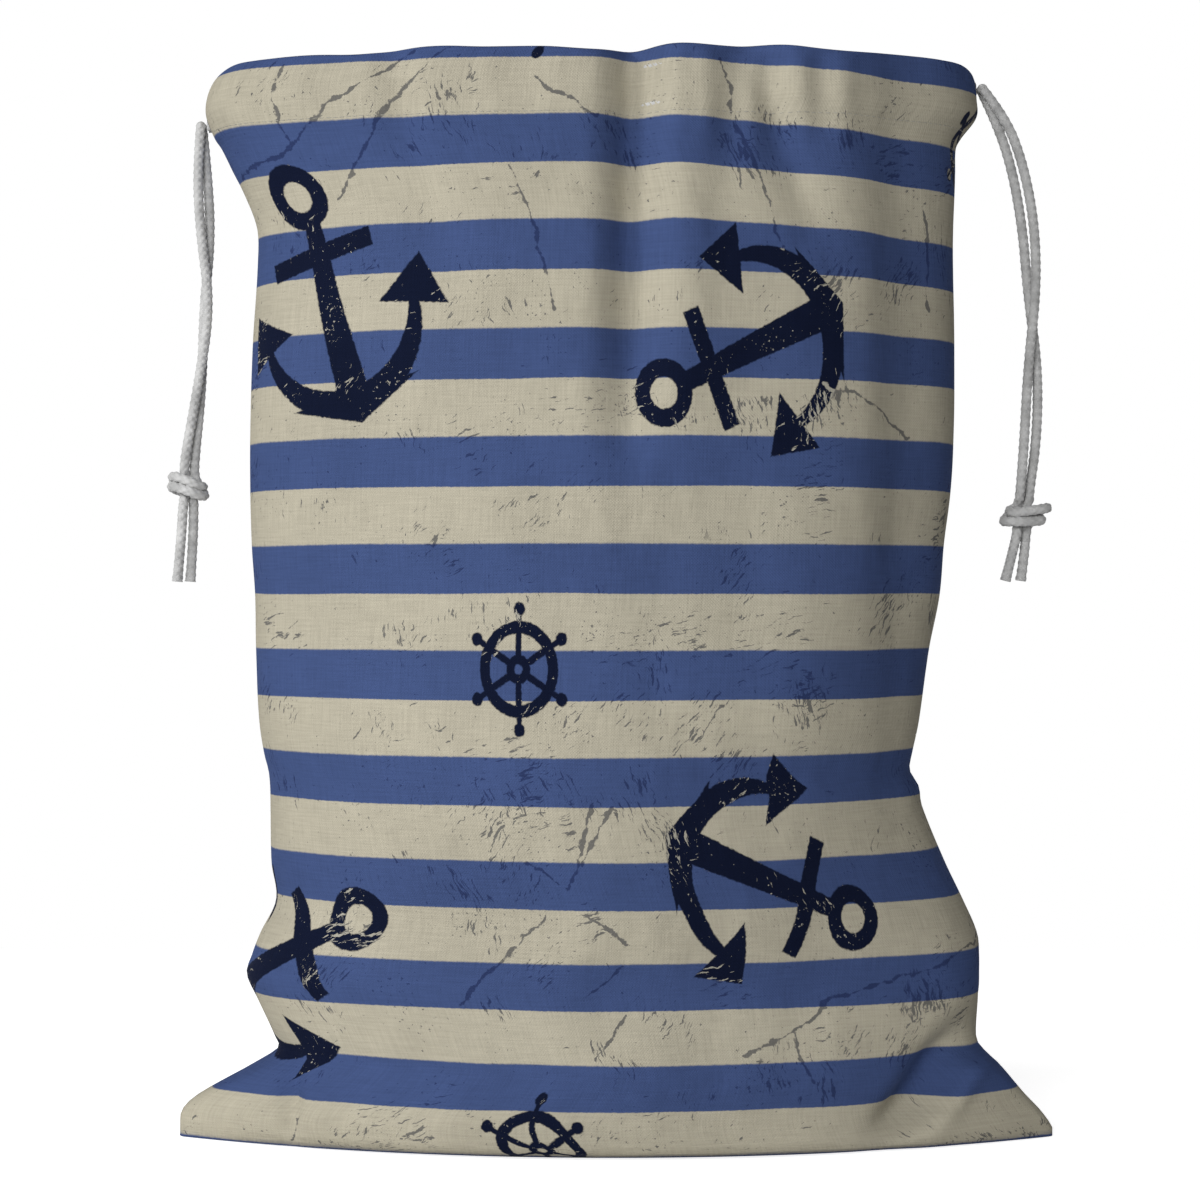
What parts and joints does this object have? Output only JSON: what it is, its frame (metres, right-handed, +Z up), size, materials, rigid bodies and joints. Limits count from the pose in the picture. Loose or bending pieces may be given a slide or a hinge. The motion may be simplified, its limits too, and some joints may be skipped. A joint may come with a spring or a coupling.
{
  "type": "drawstring mail sack",
  "caption": "Standing cloth drawstring sack with an open mouth, a hemmed casing and a knotted pair of braided cords hanging from each side.",
  "frame": {"origin": "middle of the base, on the floor", "axes": "+Z up the standing sack, +X to the right of its front, -Y towards its front"},
  "size_m": [0.5055, 0.2538, 0.61],
  "materials": {
    "striped_cloth": "matte plain weave, printed stripes",
    "hem_cloth": "matte plain weave",
    "seam_cloth": "raw cloth edge",
    "thread": "twisted sewing thread",
    "cotton_cord": "braided cotton"
  },
  "bodies": {
    "sack": {"front_panel": "striped_cloth", "back_panel": "striped_cloth", "front_casing": "hem_cloth", "back_casing": "hem_cloth", "left_side_seam": "seam_cloth", "right_side_seam": "seam_cloth", "bottom_seam": "seam_cloth", "left_seam_stitches": "thread", "right_seam_stitches": "thread", "bottom_seam_stitches": "thread", "front_casing_stitches": "thread", "back_casing_stitches": "thread", "left_bar_tacks": "thread", "right_bar_tacks": "thread", "left_drawcord_run": "cotton_cord", "right_drawcord_run": "cotton_cord"},
    "left_strands": {"left_front_strand": "cotton_cord", "left_back_strand": "cotton_cord"},
    "left_knotted_end": {"left_knot": "cotton_cord", "left_front_tail": "cotton_cord", "left_back_tail": "cotton_cord"},
    "right_strands": {"right_front_strand": "cotton_cord", "right_back_strand": "cotton_cord"},
    "right_knotted_end": {"right_knot": "cotton_cord", "right_front_tail": "cotton_cord", "right_back_tail": "cotton_cord"}
  },
  "joints": [
    {"name": "left_cord_swing", "type": "hinge", "parent": "sack", "child": "left_strands", "pos_m": [-0.23745, 0, 0.578], "axis": [0, 1, 0], "range_deg": [0, 150]},
    {"name": "left_cord_pull", "type": "slide", "parent": "left_strands", "child": "left_knotted_end", "axis": [-0.0367, 0, -0.9993], "range_m": [0, 0.3], "deforming": ["left_front_strand", "left_back_strand"]},
    {"name": "right_cord_swing", "type": "hinge", "parent": "sack", "child": "right_strands", "pos_m": [0.20945, 0, 0.5995], "axis": [0, -1, 0], "range_deg": [0, 150]},
    {"name": "right_cord_pull", "type": "slide", "parent": "right_strands", "child": "right_knotted_end", "axis": [0.1009, 0, -0.9949], "range_m": [0, 0.3], "deforming": ["right_front_strand", "right_back_strand"]}
  ]
}
